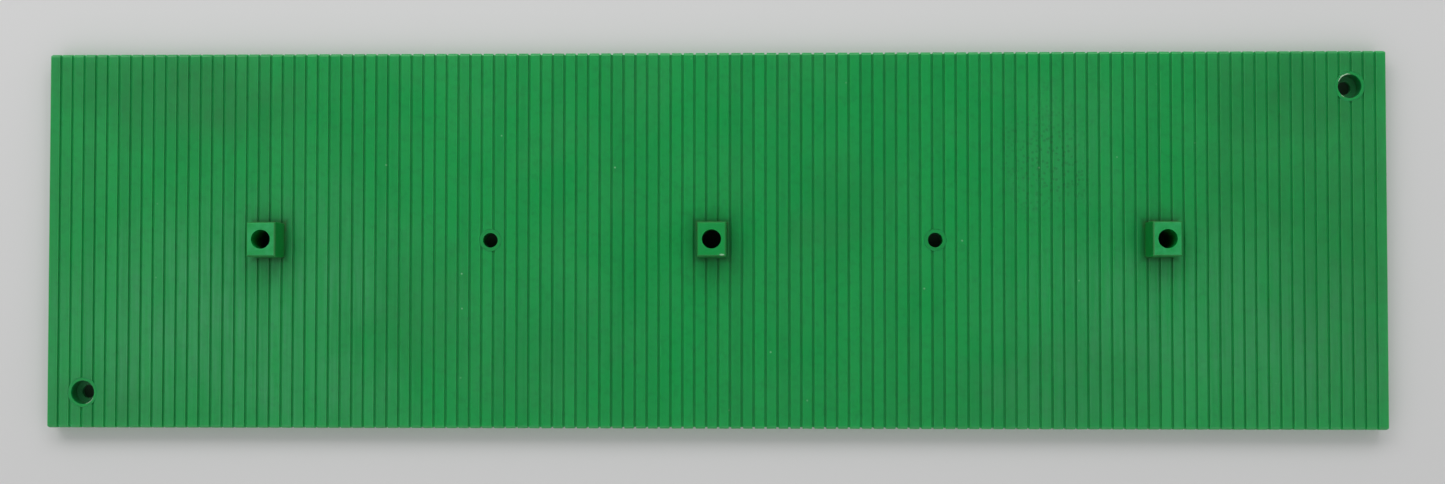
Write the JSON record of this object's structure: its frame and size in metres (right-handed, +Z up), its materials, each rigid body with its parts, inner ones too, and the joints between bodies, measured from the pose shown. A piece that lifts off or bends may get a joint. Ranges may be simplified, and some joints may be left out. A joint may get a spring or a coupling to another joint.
{
  "type": "grooved slide plate",
  "caption": "Long flat plastic plate with fine grooves across it, bored square guide blocks along its centre line, plain bushed holes and recessed corner screw holes.",
  "frame": {"origin": "centre of the flat underside, under the centre guide block's bore", "axes": "+X along the plate, across the grooves; +Y across the plate, along the grooves; +Z up out of the grooved face"},
  "size_m": [0.4512, 0.127, 0.015],
  "materials": {
    "plate_plastic": "satin moulded, lightly rubbed",
    "block_plastic": "satin, crisp edges",
    "insert_plastic": "satin"
  },
  "bodies": {
    "root": {"deck_plate": "plate_plastic", "guide_block_left": "block_plastic", "guide_block_centre": "block_plastic", "guide_block_right": "block_plastic", "plain_bush_left": "insert_plastic", "plain_bush_right": "insert_plastic", "screw_cup_near_left": "insert_plastic", "screw_cup_far_right": "insert_plastic"}
  },
  "joints": []
}
